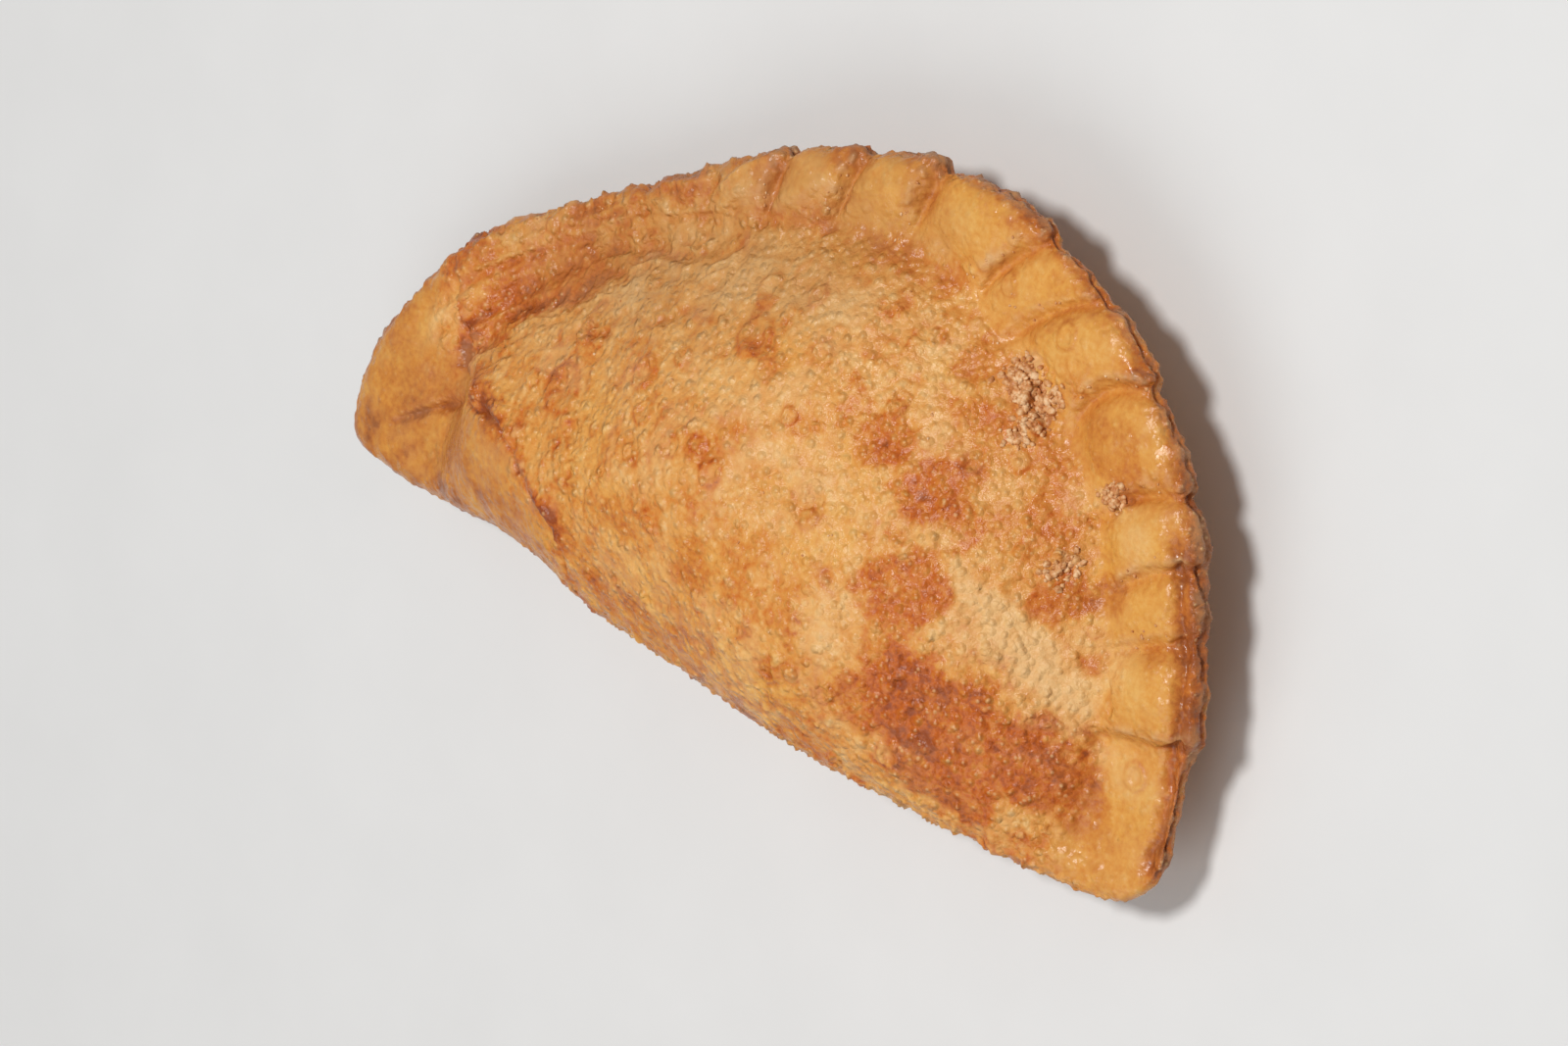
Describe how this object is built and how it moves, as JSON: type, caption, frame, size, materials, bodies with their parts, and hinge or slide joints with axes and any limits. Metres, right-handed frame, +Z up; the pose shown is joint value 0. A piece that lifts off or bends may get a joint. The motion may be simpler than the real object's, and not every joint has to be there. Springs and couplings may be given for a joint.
{
  "type": "empanada",
  "caption": "Half-moon fried pastry turnover with a domed filled belly and a crimped rim, lying flat on its back.",
  "frame": {"origin": "middle of the bounding box in X and Y, on the surface it rests on", "axes": "+X along the fold, +Y from the fold to the crimped edge, +Z up through the more domed face"},
  "size_m": [0.139, 0.0754, 0.0288],
  "materials": {
    "crust": "golden fried pastry, blistered, with a slight film of oil"
  },
  "bodies": {
    "root": {"empanada": "crust"}
  },
  "joints": []
}
